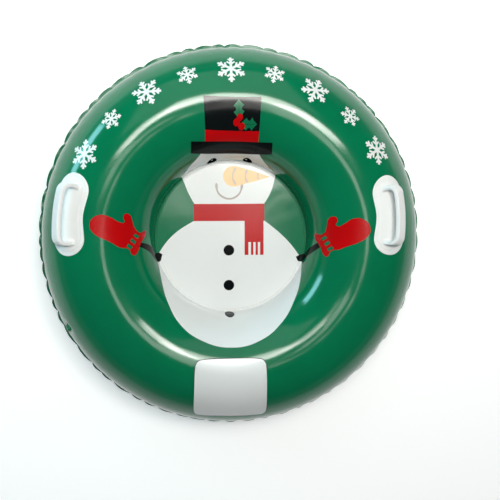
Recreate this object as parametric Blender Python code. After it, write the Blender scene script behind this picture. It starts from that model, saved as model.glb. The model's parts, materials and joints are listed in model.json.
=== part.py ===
"""Round inflatable sled: an air tube with a welded-in seat floor, two grab handles and a push-in valve.

Metres, +Z up. The sled lies flat with its origin on the ground under its middle. The two handles
sit left and right of the middle (-X and +X), a little towards +Y, and the valve is low on the
outer flank towards -X and -Y. Angles round the tube's section start at the outer seam (0), pass
the crest (90) and reach the inner seam (180).
"""

import math

import bmesh
import bpy
from mathutils import Matrix, Vector

# Air tube
TUBE_RADIUS = 0.1455
RING_RADIUS = 0.3465
SKIN = 0.0007
REST_DEPTH = 0.0008
PANELS = 72
ROWS = 12

# Seams and seat floor
SEAM_MARGIN = 0.008
SEAM_LAP = 0.001
LOBES = 60
STEPS_IN_LOBE = 4
LOBE_DEPTH = 0.004
INNER_MARGIN = 0.0085
FLOOR_SHEET = 0.0007
FLOOR_STEPS = 96

# Handles
HANDLE_AZIMUTH = math.radians(9.0)
HANDLE_ELEVATION = math.radians(62.5)
PLATE_LENGTH = 0.208
PLATE_WIDTH = 0.100
PLATE_THICKNESS = 0.0016
PLATE_WAIST = 0.004
PLATE_COLUMNS = 18
PLATE_ROWS = 8
GRIP_LENGTH = 0.155
GRIP_HEIGHT = 0.038
GRIP_WIDTH = 0.022
GRIP_THICKNESS = 0.009
GRIP_EDGE = 0.003
GRIP_BEND = 0.018
GRIP_BEND_STEPS = 5
GRIP_BAR_STEPS = 6
GRIP_FOOT_HEIGHT = 0.006
GRIP_FOOT_SHARE = 1.3

# Valve, with heights along its axis from the outside of the skin
VALVE_AZIMUTH = math.radians(208.5)
VALVE_ROW = 1
VALVE_SIDES = 24
BASE_FLANGE_RADIUS = 0.0135
BASE_FLANGE_THICKNESS = 0.001
BASE_NECK_RADIUS = 0.0095
BASE_NECK_HEIGHT = 0.0015
BASE_LIP_THICKNESS = 0.0012
BASE_WALL = 0.001
BASE_SKIRT = 0.0016
STEM_BORE_RADIUS = 0.004
STEM_WALL = 0.002
STEM_TRAVEL = 0.012
STEM_RIM_OVERHANG = 0.0015
STEM_RIM_THICKNESS = 0.0012
STEM_COLLAR_OVERHANG = 0.001
STEM_COLLAR_THICKNESS = 0.002
HINGE_OFFSET = 0.0115
TETHER_WIDTH = 0.0032
TETHER_THICKNESS = 0.0009
TETHER_RISE = 0.0014
TETHER_STEPS = 5
LUG_END = 0.001
STOPPER_HEAD_RADIUS = 0.0068
STOPPER_HEAD_THICKNESS = 0.0022
STOPPER_HEAD_EDGE = 0.0007
STOPPER_DEPTH = 0.0055
STOPPER_TIP_RADIUS = 0.0021
STOPPER_TIP_EDGE = 0.0006
TAB_REACH = 0.0022
TAB_WIDTH = 0.0044
FLAP_THICKNESS = 0.0006
FLAP_SEAT = 0.0006
FLAP_TAIL_WIDTH = 0.0034

# Clearances and tolerances
TOUCH_GAP = 0.0003
RUNNING_GAP = 0.0003
OVERRUN = 0.002
MERGE_DISTANCE = 0.000002

# Worked out from the sizes above
CENTRE_HEIGHT = TUBE_RADIUS - REST_DEPTH
OUTER_SEAM_THICKNESS = 2 * SKIN
INNER_SEAM_THICKNESS = 2 * SKIN + FLOOR_SHEET
PANEL_ANGLE = 2 * math.pi / PANELS
INNER_EDGE_RADIUS = RING_RADIUS - TUBE_RADIUS
PLATE_TOP = TOUCH_GAP + PLATE_THICKNESS
STEM_RADIUS = STEM_BORE_RADIUS + STEM_WALL
RIM_RADIUS = STEM_RADIUS + STEM_RIM_OVERHANG
RIM_UNDERSIDE = BASE_NECK_HEIGHT + TOUCH_GAP
RIM_TOP = RIM_UNDERSIDE + STEM_RIM_THICKNESS
LIP_UNDERSIDE = BASE_NECK_HEIGHT - BASE_LIP_THICKNESS
COLLAR_TOP = LIP_UNDERSIDE - TOUCH_GAP - STEM_TRAVEL
COLLAR_BOTTOM = COLLAR_TOP - STEM_COLLAR_THICKNESS
COLLAR_RADIUS = STEM_RADIUS + STEM_COLLAR_OVERHANG
SOCKET_RADIUS = COLLAR_RADIUS + RUNNING_GAP
HEAD_UNDERSIDE = RIM_TOP + TOUCH_GAP
TETHER_HINGE_HEIGHT = RIM_TOP + TOUCH_GAP + TETHER_THICKNESS / 2
FLAP_TOP = COLLAR_BOTTOM - TOUCH_GAP
FLAP_RADIUS = STEM_BORE_RADIUS + FLAP_SEAT
FLAP_HINGE_OFFSET = FLAP_RADIUS + FLAP_SEAT


def finish(name, colour, roughness):
    """A plain vinyl finish for one sub-part."""
    material = bpy.data.materials.new(name)
    material.use_nodes = True
    shader = material.node_tree.nodes["Principled BSDF"]
    shader.inputs["Base Color"].default_value = (*colour, 1.0)
    shader.inputs["Roughness"].default_value = roughness
    shader.inputs["Metallic"].default_value = 0.0
    material.diffuse_color = (*colour, 1.0)
    return material


def make_object(name, bm, material, origin=Vector((0, 0, 0))):
    """Turn a bmesh into an object whose origin is at the given point of the mesh's own frame."""
    bmesh.ops.recalc_face_normals(bm, faces=bm.faces[:])
    bmesh.ops.translate(bm, vec=-origin, verts=bm.verts[:])
    mesh = bpy.data.meshes.new(name)
    bm.to_mesh(mesh)
    bm.free()
    mesh.shade_smooth()
    mesh.set_sharp_from_angle(angle=math.radians(40))
    obj = bpy.data.objects.new(name, mesh)
    obj.location = origin
    obj.data.materials.append(material)
    bpy.context.scene.collection.objects.link(obj)
    return obj


def spun(points, steps, start=0.0, closed=True):
    """Spin an outline of (radius, height) points once round Z, beginning at the start angle."""
    bm = bmesh.new()
    turn = Matrix.Rotation(start, 3, "Z")
    verts = [bm.verts.new(turn @ Vector((radius, 0, height))) for radius, height in points]
    edges = [bm.edges.new(pair) for pair in zip(verts, verts[1:])]
    if closed:
        edges.append(bm.edges.new((verts[-1], verts[0])))
    bmesh.ops.spin(bm, geom=verts + edges, cent=(0, 0, 0), axis=(0, 0, 1), angle=2 * math.pi,
                   steps=steps, use_merge=True, use_duplicate=False)
    bmesh.ops.remove_doubles(bm, verts=bm.verts[:], dist=MERGE_DISTANCE)
    return bm


def rounded_face(bm, width, height, edge):
    """A flat rectangle with rounded corners in the XY plane."""
    bmesh.ops.create_grid(bm, x_segments=1, y_segments=1, size=1)
    bmesh.ops.scale(bm, vec=(width / 2, height / 2, 1), verts=bm.verts[:])
    bmesh.ops.bevel(bm, geom=bm.verts[:], offset=edge, segments=2, profile=0.5,
                    affect="VERTICES", material=-1)
    return next(iter(bm.faces))


def swept(width, thickness, edge, stations):
    """Extrude a rounded section through a row of matrices."""
    bm = bmesh.new()
    first = face = rounded_face(bm, width, thickness, edge)
    bmesh.ops.transform(bm, matrix=stations[0], verts=bm.verts[:])
    for before, after in zip(stations, stations[1:]):
        made = bmesh.ops.extrude_face_region(bm, geom=[face])
        ahead = next(item for item in made["geom"] if isinstance(item, bmesh.types.BMFace))
        bmesh.ops.transform(bm, matrix=after @ before.inverted(), verts=ahead.verts[:])
        if face is not first:
            bmesh.ops.delete(bm, geom=[face], context="FACES_ONLY")
        face = ahead
    return bm


def section_matrix(along, height, direction, share=1.0):
    """A section's place on a path in the XZ plane: its width lies along Y, its thickness across the path."""
    ahead = Vector((math.cos(direction), 0, math.sin(direction)))
    outward = Vector((-math.sin(direction), 0, math.cos(direction)))
    matrix = Matrix((Vector((0, share, 0)), outward * share, ahead)).transposed().to_4x4()
    matrix.translation = Vector((along, 0, height))
    return matrix


def cut(target, cutter, operation):
    """Combine a hidden helper with the target by an exact Boolean."""
    modifier = target.modifiers.new(cutter.name, "BOOLEAN")
    modifier.operation = operation
    modifier.solver = "EXACT"
    modifier.object = cutter
    cutter.hide_render = True
    cutter.display_type = "WIRE"


def arc_rows(radius, first, last, rows):
    """Points of the tube's section between two angles, as (radius from the axis, height)."""
    angles = [first + (last - first) * row / rows for row in range(rows + 1)]
    return [(RING_RADIUS + radius * math.cos(angle), CENTRE_HEIGHT + radius * math.sin(angle))
            for angle in angles]


def seam_angles(radius):
    """How far the skin stops short of the outer and the inner seam's middle, as angles."""
    outer = math.asin((OUTER_SEAM_THICKNESS / 2 + TOUCH_GAP) / radius)
    inner = math.asin((INNER_SEAM_THICKNESS / 2 + TOUCH_GAP) / radius)
    return outer, inner


def upper_line(radius):
    outer, inner = seam_angles(radius)
    return arc_rows(radius, outer, math.pi - inner, ROWS)


def lower_line(radius):
    """The lower half of the section, cut flat where the sled rests."""
    outer, inner = seam_angles(radius)
    flat = math.asin((radius - REST_DEPTH) / radius)
    half = ROWS // 2
    return arc_rows(radius, -outer, -flat, half) + arc_rows(radius, math.pi + flat, math.pi + inner, half)


def add_skin(name, line, material):
    """One half of the air tube as a thin turned sheet."""
    outline = line(TUBE_RADIUS) + line(TUBE_RADIUS - SKIN)[::-1]
    bm = spun(outline, PANELS, start=VALVE_AZIMUTH - PANEL_ANGLE / 2)
    return make_object(name, bm, material)


def add_outer_seam(material):
    """The fused margin round the outside, with the lobes that the puckered sheet is drawn into."""
    inner = RING_RADIUS + TUBE_RADIUS - SKIN - SEAM_LAP
    outer = RING_RADIUS + TUBE_RADIUS + SEAM_MARGIN
    low = CENTRE_HEIGHT - OUTER_SEAM_THICKNESS / 2
    high = CENTRE_HEIGHT + OUTER_SEAM_THICKNESS / 2
    outline = [(inner, low), (outer, low), (outer, high), (inner, high)]
    bm = spun(outline, LOBES * STEPS_IN_LOBE)
    edge = [v for v in bm.verts if v.co.xy.length > (inner + outer) / 2]
    for vert in edge:
        azimuth = math.atan2(vert.co.y, vert.co.x)
        drawn_in = LOBE_DEPTH * (1 - abs(math.cos(LOBES * azimuth / 2)))
        vert.co.xy *= (outer - drawn_in) / outer
    return make_object("outer_seam", bm, material)


def add_inner_seam(material):
    """The ribbed ring where both skins and the floor are fused."""
    inner = INNER_EDGE_RADIUS - INNER_MARGIN
    outer = INNER_EDGE_RADIUS + SKIN + SEAM_LAP
    low = CENTRE_HEIGHT - INNER_SEAM_THICKNESS / 2
    high = CENTRE_HEIGHT + INNER_SEAM_THICKNESS / 2
    bm = spun([(inner, low), (outer, low), (outer, high), (inner, high)], FLOOR_STEPS)
    return make_object("inner_seam", bm, material)


def add_seat_floor(material):
    """The flat sheet that the rider sits on."""
    radius = INNER_EDGE_RADIUS - INNER_MARGIN - TOUCH_GAP
    low = CENTRE_HEIGHT - FLOOR_SHEET / 2
    high = CENTRE_HEIGHT + FLOOR_SHEET / 2
    bm = spun([(0, low), (radius, low), (radius, high), (0, high)], FLOOR_STEPS, closed=False)
    return make_object("seat_floor", bm, material)


def on_tube(azimuth, along, across, height):
    """A point above the tube, by its arc lengths from a handle's middle and its height over the skin."""
    reach = RING_RADIUS + TUBE_RADIUS * math.cos(HANDLE_ELEVATION)
    turn = azimuth + along / reach
    rise = HANDLE_ELEVATION + across / TUBE_RADIUS
    out = RING_RADIUS + (TUBE_RADIUS + height) * math.cos(rise)
    up = CENTRE_HEIGHT + (TUBE_RADIUS + height) * math.sin(rise)
    return Vector((out * math.cos(turn), out * math.sin(turn), up))


def plate_half_width(along):
    """Half the handle plate's width at a distance from its middle: a waist, then round ends."""
    end_radius = PLATE_WIDTH / 2
    straight = PLATE_LENGTH / 2 - end_radius
    beyond = abs(along) - straight
    if beyond > 0:
        return math.sqrt(max(end_radius ** 2 - beyond ** 2, 0))
    return end_radius - PLATE_WAIST * (1 + math.cos(math.pi * along / straight)) / 2


def add_handle_plate(name, azimuth, material):
    """The welded base plate: a grid shaped to its outline, laid on the tube and given its thickness."""
    bm = bmesh.new()
    bmesh.ops.create_grid(bm, x_segments=PLATE_COLUMNS, y_segments=PLATE_ROWS, size=1)
    for vert in bm.verts:
        along = PLATE_LENGTH / 2 * math.sin(vert.co.x * math.pi / 2)
        across = vert.co.y * plate_half_width(along)
        vert.co = on_tube(azimuth, along, across, TOUCH_GAP)
    bmesh.ops.remove_doubles(bm, verts=bm.verts[:], dist=MERGE_DISTANCE)
    plate = make_object(name, bm, material, on_tube(azimuth, 0, 0, TOUCH_GAP))
    wall = plate.modifiers.new("thickness", "SOLIDIFY")
    wall.thickness = PLATE_THICKNESS
    wall.offset = 1.0
    return plate


def grip_stations():
    """The grip's path from foot to foot, in lengths along the handle and heights over the skin."""
    half_foot = GRIP_WIDTH * GRIP_FOOT_SHARE / 2
    crown_of_plate = half_foot ** 2 / (2 * TUBE_RADIUS)
    foot = PLATE_TOP + TOUCH_GAP + crown_of_plate
    leg = GRIP_LENGTH / 2 - GRIP_THICKNESS / 2
    top = GRIP_HEIGHT - GRIP_THICKNESS / 2
    bend_start = top - GRIP_BEND
    corner = leg - GRIP_BEND
    upright = math.pi / 2
    rising = [section_matrix(-leg, foot, upright, GRIP_FOOT_SHARE),
              section_matrix(-leg, foot + GRIP_FOOT_HEIGHT, upright)]
    for step in range(GRIP_BEND_STEPS + 1):
        angle = upright * step / GRIP_BEND_STEPS
        rising.append(section_matrix(-corner - GRIP_BEND * math.cos(angle),
                                     bend_start + GRIP_BEND * math.sin(angle), upright - angle))
    bar = [section_matrix(corner * (2 * step / GRIP_BAR_STEPS - 1), top, 0)
           for step in range(1, GRIP_BAR_STEPS)]
    falling = []
    for step in range(GRIP_BEND_STEPS + 1):
        angle = upright * step / GRIP_BEND_STEPS
        falling.append(section_matrix(corner + GRIP_BEND * math.sin(angle),
                                      bend_start + GRIP_BEND * math.cos(angle), -angle))
    falling += [section_matrix(leg, foot + GRIP_FOOT_HEIGHT, -upright),
                section_matrix(leg, foot, -upright, GRIP_FOOT_SHARE)]
    return rising + bar + falling


def add_handle_grip(name, azimuth, material):
    """The moulded bar that the hand closes round, swept and then bent with the tube under it."""
    bm = swept(GRIP_WIDTH, GRIP_THICKNESS, GRIP_EDGE, grip_stations())
    for vert in bm.verts:
        vert.co = on_tube(azimuth, vert.co.x, vert.co.y, vert.co.z)
    return make_object(name, bm, material, on_tube(azimuth, 0, 0, GRIP_HEIGHT))


def valve_frame():
    """The valve's own frame: its origin is the middle of one flat panel of the skin, +Z points outwards,
    +X goes round the tube and +Y up towards the crest."""
    first, second = upper_line(TUBE_RADIUS)[VALVE_ROW:VALVE_ROW + 2]
    flatten = math.cos(PANEL_ANGLE / 2)
    low = Vector((first[0] * flatten, 0, first[1]))
    high = Vector((second[0] * flatten, 0, second[1]))
    up_the_skin = (high - low).normalized()
    round_the_tube = Vector((0, 1, 0))
    outwards = round_the_tube.cross(up_the_skin)
    frame = Matrix((round_the_tube, up_the_skin, outwards)).transposed().to_4x4()
    frame.translation = (low + high) / 2
    return Matrix.Rotation(VALVE_AZIMUTH, 4, "Z") @ frame


def add_valve_base(material):
    """The weld flange inside the skin, the neck through it and the socket that the stem slides in."""
    flange_top = -SKIN - TOUCH_GAP
    flange_under = flange_top - BASE_FLANGE_THICKNESS
    bottom = FLAP_TOP - FLAP_THICKNESS - BASE_SKIRT
    wall = SOCKET_RADIUS + BASE_WALL
    lip = STEM_RADIUS + RUNNING_GAP
    outline = [(SOCKET_RADIUS, bottom), (wall, bottom), (wall, flange_under),
               (BASE_FLANGE_RADIUS, flange_under), (BASE_FLANGE_RADIUS, flange_top),
               (BASE_NECK_RADIUS, flange_top), (BASE_NECK_RADIUS, BASE_NECK_HEIGHT),
               (lip, BASE_NECK_HEIGHT), (lip, LIP_UNDERSIDE), (SOCKET_RADIUS, LIP_UNDERSIDE)]
    return make_object("valve_base", spun(outline, VALVE_SIDES), material)


def add_valve_stem(material):
    """The stem: a tube with a rim above, a stop collar below and a lug that the tether hangs on."""
    outline = [(STEM_BORE_RADIUS, COLLAR_BOTTOM), (COLLAR_RADIUS, COLLAR_BOTTOM),
               (COLLAR_RADIUS, COLLAR_TOP), (STEM_RADIUS, COLLAR_TOP), (STEM_RADIUS, RIM_UNDERSIDE),
               (RIM_RADIUS, RIM_UNDERSIDE), (RIM_RADIUS, RIM_TOP), (STEM_BORE_RADIUS, RIM_TOP)]
    stem = make_object("valve_stem", spun(outline, VALVE_SIDES), material)
    inner = (STEM_RADIUS + RIM_RADIUS) / 2
    outer = HINGE_OFFSET + LUG_END
    bm = bmesh.new()
    bmesh.ops.create_cube(bm, size=1)
    bmesh.ops.scale(bm, vec=(outer - inner, TETHER_WIDTH, STEM_RIM_THICKNESS), verts=bm.verts[:])
    bmesh.ops.translate(bm, vec=(-(inner + outer) / 2, 0, (RIM_UNDERSIDE + RIM_TOP) / 2), verts=bm.verts[:])
    lug = make_object("tether_lug_shape", bm, material)
    cut(stem, lug, "UNION")
    return stem, lug


def add_valve_stopper(material):
    """The plug: a tapered shank that clears the bore as it swings, a domed head and a pull tab."""
    root = STEM_BORE_RADIUS - RUNNING_GAP
    tip = HEAD_UNDERSIDE - STOPPER_DEPTH
    top = HEAD_UNDERSIDE + STOPPER_HEAD_THICKNESS
    outline = [(0, tip), (STOPPER_TIP_RADIUS - STOPPER_TIP_EDGE, tip),
               (STOPPER_TIP_RADIUS, tip + STOPPER_TIP_EDGE), (root, HEAD_UNDERSIDE),
               (STOPPER_HEAD_RADIUS, HEAD_UNDERSIDE), (STOPPER_HEAD_RADIUS, top - STOPPER_HEAD_EDGE),
               (STOPPER_HEAD_RADIUS - STOPPER_HEAD_EDGE, top), (0, top)]
    origin = Vector((-HINGE_OFFSET, 0, TETHER_HINGE_HEIGHT))
    stopper = make_object("valve_stopper", spun(outline, VALVE_SIDES, closed=False), material, origin)
    reach = STOPPER_HEAD_RADIUS + TAB_REACH
    bm = bmesh.new()
    rounded_face(bm, reach, TAB_WIDTH, TAB_WIDTH / 4)
    made = bmesh.ops.extrude_face_region(bm, geom=bm.faces[:])
    lifted = [item for item in made["geom"] if isinstance(item, bmesh.types.BMVert)]
    bmesh.ops.translate(bm, vec=(0, 0, STOPPER_HEAD_THICKNESS / 2), verts=lifted)
    bmesh.ops.translate(bm, vec=(reach / 2, 0, HEAD_UNDERSIDE + STOPPER_HEAD_THICKNESS / 4), verts=bm.verts[:])
    tab = make_object("pull_tab_shape", bm, material)
    cut(stopper, tab, "UNION")
    return stopper, tab


def add_valve_tether(material):
    """The strap from the stopper's head to the stem's lug, bowed like the soft one."""
    start = -STOPPER_HEAD_RADIUS - TOUCH_GAP
    end = -HINGE_OFFSET
    stations = []
    for step in range(TETHER_STEPS + 1):
        share = step / TETHER_STEPS
        bow = TETHER_RISE * math.sin(math.pi * share)
        slope = math.atan2(TETHER_RISE * math.pi * math.cos(math.pi * share), start - end)
        stations.append(section_matrix(start + (end - start) * share, TETHER_HINGE_HEIGHT + bow,
                                       math.pi - slope))
    bm = swept(TETHER_WIDTH, TETHER_THICKNESS, TETHER_THICKNESS / 4, stations)
    return make_object("valve_tether", bm, material, Vector((end, 0, TETHER_HINGE_HEIGHT)))


def add_valve_flap(material):
    """The check flap under the bore: a disc with a tail that it hinges on."""
    outline = [(0, FLAP_TOP - FLAP_THICKNESS), (FLAP_RADIUS, FLAP_TOP - FLAP_THICKNESS),
               (FLAP_RADIUS, FLAP_TOP), (0, FLAP_TOP)]
    origin = Vector((FLAP_HINGE_OFFSET, 0, FLAP_TOP))
    flap = make_object("valve_flap", spun(outline, VALVE_SIDES, closed=False), material, origin)
    bm = bmesh.new()
    bmesh.ops.create_cube(bm, size=1)
    bmesh.ops.scale(bm, vec=(FLAP_HINGE_OFFSET, FLAP_TAIL_WIDTH, FLAP_THICKNESS), verts=bm.verts[:])
    bmesh.ops.translate(bm, vec=(FLAP_HINGE_OFFSET / 2, 0, FLAP_TOP - FLAP_THICKNESS / 2), verts=bm.verts[:])
    tail = make_object("flap_tail_shape", bm, material)
    cut(flap, tail, "UNION")
    return flap, tail


def add_valve(skin, material):
    """All valve pieces, parented to an empty that stands on the skin, and the hole they pass through."""
    seat = bpy.data.objects.new("valve_seat", None)
    seat.matrix_world = valve_frame()
    bpy.context.scene.collection.objects.link(seat)
    pieces = [add_valve_base(material), add_valve_tether(material)]
    pieces += add_valve_stem(material) + add_valve_stopper(material) + add_valve_flap(material)
    radius = BASE_NECK_RADIUS + TOUCH_GAP
    low = -SKIN - OVERRUN
    bm = spun([(0, low), (radius, low), (radius, OVERRUN), (0, OVERRUN)], VALVE_SIDES, closed=False)
    hole = make_object("valve_hole_shape", bm, material)
    cut(skin, hole, "DIFFERENCE")
    for piece in pieces + [hole]:
        piece.parent = seat


def build():
    for obj in list(bpy.data.objects):
        bpy.data.objects.remove(obj, do_unlink=True)
    green = finish("green_vinyl", (0.006, 0.17, 0.065), 0.28)
    green_seam = finish("green_vinyl_seam", (0.006, 0.15, 0.06), 0.4)
    floor_vinyl = finish("floor_vinyl", (0.75, 0.77, 0.77), 0.3)
    white = finish("white_vinyl", (0.86, 0.87, 0.87), 0.4)
    valve_green = finish("valve_vinyl", (0.01, 0.2, 0.08), 0.35)
    upper = add_skin("upper_skin", upper_line, green)
    add_skin("lower_skin", lower_line, green)
    add_outer_seam(green_seam)
    add_inner_seam(green_seam)
    add_seat_floor(floor_vinyl)
    for side, azimuth in (("left", math.pi - HANDLE_AZIMUTH), ("right", HANDLE_AZIMUTH)):
        add_handle_plate(f"{side}_handle_plate", azimuth, white)
        add_handle_grip(f"{side}_handle_grip", azimuth, white)
    add_valve(upper, valve_green)


build()
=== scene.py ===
# %% [markdown]
# # A round inflatable snow sled
# The sled is two rings of soft vinyl sheet, welded together round the outside and round the hole, with a
# third sheet across the hole to sit on. Air pulls the sheets round, and the outer weld, which was cut as a
# flat circle, is too long for the blown-up tube, so it puckers. The picture was printed on the flat upper
# sheet before anything was welded. This script dresses the plain working model with those surfaces.
# Everything is in metres with +Z up. The sled lies on the ground with its middle over the origin.

# %% Load the working model
import json
import math
import random

import bmesh
import bpy
from mathutils import Matrix, Vector, noise
from mathutils.bvhtree import BVHTree


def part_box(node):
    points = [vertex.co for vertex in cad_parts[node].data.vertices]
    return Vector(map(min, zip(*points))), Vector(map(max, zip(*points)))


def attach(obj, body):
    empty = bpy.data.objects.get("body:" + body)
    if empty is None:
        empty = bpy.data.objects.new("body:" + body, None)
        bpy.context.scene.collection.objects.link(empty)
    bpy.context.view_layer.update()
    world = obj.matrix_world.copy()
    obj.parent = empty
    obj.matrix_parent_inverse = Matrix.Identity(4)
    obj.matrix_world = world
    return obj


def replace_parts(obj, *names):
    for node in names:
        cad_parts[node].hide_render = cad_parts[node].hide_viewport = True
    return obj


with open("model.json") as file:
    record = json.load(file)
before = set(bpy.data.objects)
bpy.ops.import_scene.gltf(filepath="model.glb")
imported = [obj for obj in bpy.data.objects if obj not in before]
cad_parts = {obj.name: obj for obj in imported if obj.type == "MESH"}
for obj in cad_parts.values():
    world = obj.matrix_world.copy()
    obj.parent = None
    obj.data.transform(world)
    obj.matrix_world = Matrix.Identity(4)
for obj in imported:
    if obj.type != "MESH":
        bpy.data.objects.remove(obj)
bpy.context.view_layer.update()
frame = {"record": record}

# %% [markdown]
# ## Sizes
# Every surface here follows from the tube's section and the two welds. They are read from the working
# model's own boxes, so the dressing fits the model without any fitting by eye.

# %% Sizes taken from the working model
MM = 0.001
MERGE_DISTANCE = 0.000002
FULL_TURN = 2 * math.pi

outer_seam_low, outer_seam_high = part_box("outer_seam")
inner_seam_low, inner_seam_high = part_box("inner_seam")
seat_low, seat_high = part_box("seat_floor")
upper_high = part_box("upper_skin")[1]
SKIN = 0.0007
SEAM_MARGIN = 0.008
centre_height = (outer_seam_low.z + outer_seam_high.z) / 2
tube_radius = upper_high.z - centre_height
seam_edge_radius = outer_seam_high.x
ring_radius = seam_edge_radius - SEAM_MARGIN - tube_radius
wall_radius = ring_radius - tube_radius
weld_inner_radius = seat_high.x
weld_top = inner_seam_high.z
floor_top = seat_high.z
print(f"tube {tube_radius:.4f} round a ring of {ring_radius:.4f}, hole wall at {wall_radius:.4f}")

# %% [markdown]
# ## Camera
# The photograph looks almost straight down at the sled lying flat, from a little to its upper left. The
# camera's axes are built from its line of sight, with the picture's upright direction along +Y, which keeps
# the print level.

# %% Camera
EYE = Vector((-0.1626, 0.2551, centre_height + 2.7836))
AIM = Vector((0.0507, -0.03656, centre_height))
LENS_MM = 76.57
SENSOR_MM = 36

sight = (AIM - EYE).normalized()
rightwards = sight.cross(Vector((0, 1, 0))).normalized()
upwards = rightwards.cross(sight)
camera_data = bpy.data.cameras.new("camera")
camera_data.lens = LENS_MM
camera_data.sensor_width = SENSOR_MM
camera = bpy.data.objects.new("camera", camera_data)
camera.matrix_world = Matrix((rightwards, upwards, -sight)).transposed().to_4x4()
camera.matrix_world.translation = EYE
bpy.context.scene.collection.objects.link(camera)
bpy.context.scene.camera = camera
print("camera stands", round((AIM - EYE).length, 3), "m from its aim")

# %% [markdown]
# ## Studio
# The photograph is a product shot on white. A pale floor and a pale wall far behind it stand for that: they
# add a little light of their own, but only for rays that look at them, so the sled isn't lit by it and its
# shadow stays. Soft boxes hang in a ring above the sled, and each is an area lamp here: glossy vinyl shows
# them as bright arcs on the tube and a sheen on the seat. The two largest have a grid, which narrows their
# beam. A pale scrim stands behind, and the cool streaks come from a window low at one side.

# %% Floor and backdrop
FLOOR_REACH = 14.0
BACKDROP_HEIGHT = 3.5
FLOOR_DROP = 0.0003
STAGE_SEGMENTS = 96
STUDIO_WHITE = (0.86, 0.865, 0.87, 1.0)
FLOOR_GLOW = 0.42
WALL_GLOW = 0.12


def pale_surface(name, glow):
    """A matt pale paint that shows brighter to the camera and in reflections than the light makes it."""
    material = bpy.data.materials.new(name)
    material.use_nodes = True
    nodes = material.node_tree.nodes
    links = material.node_tree.links
    nodes.clear()
    output = nodes.new("ShaderNodeOutputMaterial")
    paint = nodes.new("ShaderNodeBsdfDiffuse")
    paint.inputs["Color"].default_value = STUDIO_WHITE
    light = nodes.new("ShaderNodeEmission")
    ray = nodes.new("ShaderNodeLightPath")
    looks = nodes.new("ShaderNodeMath")
    looks.operation = "ADD"
    seen = nodes.new("ShaderNodeMath")
    seen.operation = "ADD"
    strength = nodes.new("ShaderNodeMath")
    strength.operation = "MULTIPLY"
    strength.inputs[1].default_value = glow
    both = nodes.new("ShaderNodeAddShader")
    links.new(ray.outputs["Is Camera Ray"], looks.inputs[0])
    links.new(ray.outputs["Is Glossy Ray"], looks.inputs[1])
    links.new(looks.outputs[0], seen.inputs[0])
    links.new(ray.outputs["Is Transmission Ray"], seen.inputs[1])
    links.new(seen.outputs[0], strength.inputs[0])
    links.new(strength.outputs[0], light.inputs["Strength"])
    links.new(paint.outputs[0], both.inputs[0])
    links.new(light.outputs[0], both.inputs[1])
    links.new(both.outputs[0], output.inputs["Surface"])
    return material


def add_stage(name, bm, material):
    """A piece of the studio, which isn't a piece of the sled."""
    mesh = bpy.data.meshes.new(name)
    bm.to_mesh(mesh)
    bm.free()
    mesh.materials.append(material)
    obj = bpy.data.objects.new(name, mesh)
    bpy.context.scene.collection.objects.link(obj)
    return obj


bm = bmesh.new()
bmesh.ops.create_circle(bm, cap_ends=True, segments=STAGE_SEGMENTS, radius=FLOOR_REACH)
bmesh.ops.translate(bm, vec=(0, 0, -FLOOR_DROP), verts=bm.verts[:])
add_stage("studio_floor", bm, pale_surface("studio_floor_paint", FLOOR_GLOW))

bm = bmesh.new()
bmesh.ops.create_circle(bm, segments=STAGE_SEGMENTS, radius=FLOOR_REACH)
raised = bmesh.ops.extrude_edge_only(bm, edges=bm.edges[:])
raised_verts = [item for item in raised["geom"] if isinstance(item, bmesh.types.BMVert)]
bmesh.ops.translate(bm, vec=(0, 0, BACKDROP_HEIGHT), verts=raised_verts)
bmesh.ops.reverse_faces(bm, faces=bm.faces[:])
add_stage("studio_wall", bm, pale_surface("studio_wall_paint", WALL_GLOW))
print("floor", FLOOR_REACH, "m out, wall", BACKDROP_HEIGHT, "m high")

# %% World
ROOM_COLOUR = (0.6, 0.85, 1.0, 1.0)
ROOM_STRENGTH = 0.08

world = bpy.data.worlds.new("dim_room")
world.use_nodes = True
room = world.node_tree.nodes["Background"]
room.inputs["Color"].default_value = ROOM_COLOUR
room.inputs["Strength"].default_value = ROOM_STRENGTH
bpy.context.scene.world = world
print("room light", ROOM_STRENGTH)

# %% Lamps
SOFTBOX_RISE = 5.0
SOFTBOX_HEIGHT = centre_height + SOFTBOX_RISE
NO_GRID = 180.0
WARM = (1.0, 0.985, 0.93)
COOL = (0.93, 1.0, 0.98)
CYAN = (0.35, 0.85, 1.0)


def add_softbox(name, place, size, radiance, colour=WARM, twist=0.0, target=(0, 0), grid=NO_GRID):
    """A rectangular lamp that faces a place on the sled, with the same brightness whatever its size. A grid
    of under 180 degrees narrows its beam, so that it fades away from its target."""
    data = bpy.data.lights.new(name, "AREA")
    data.shape = "RECTANGLE"
    data.size = size[0]
    data.size_y = size[1]
    data.energy = radiance * size[0] * size[1] * math.pi
    data.color = colour
    if grid < NO_GRID:
        data.spread = math.radians(grid)
        data.energy *= 1 - data.spread / 2 / math.tan(data.spread / 2)
    lamp = bpy.data.objects.new(name, data)
    towards = Vector((*target, centre_height)) - Vector(place)
    aim = towards.to_track_quat("-Z", "Y").to_matrix().to_4x4()
    lamp.matrix_world = Matrix.Translation(place) @ Matrix.Rotation(math.radians(twist), 4, "Z") @ aim
    bpy.context.scene.collection.objects.link(lamp)
    return lamp


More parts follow.
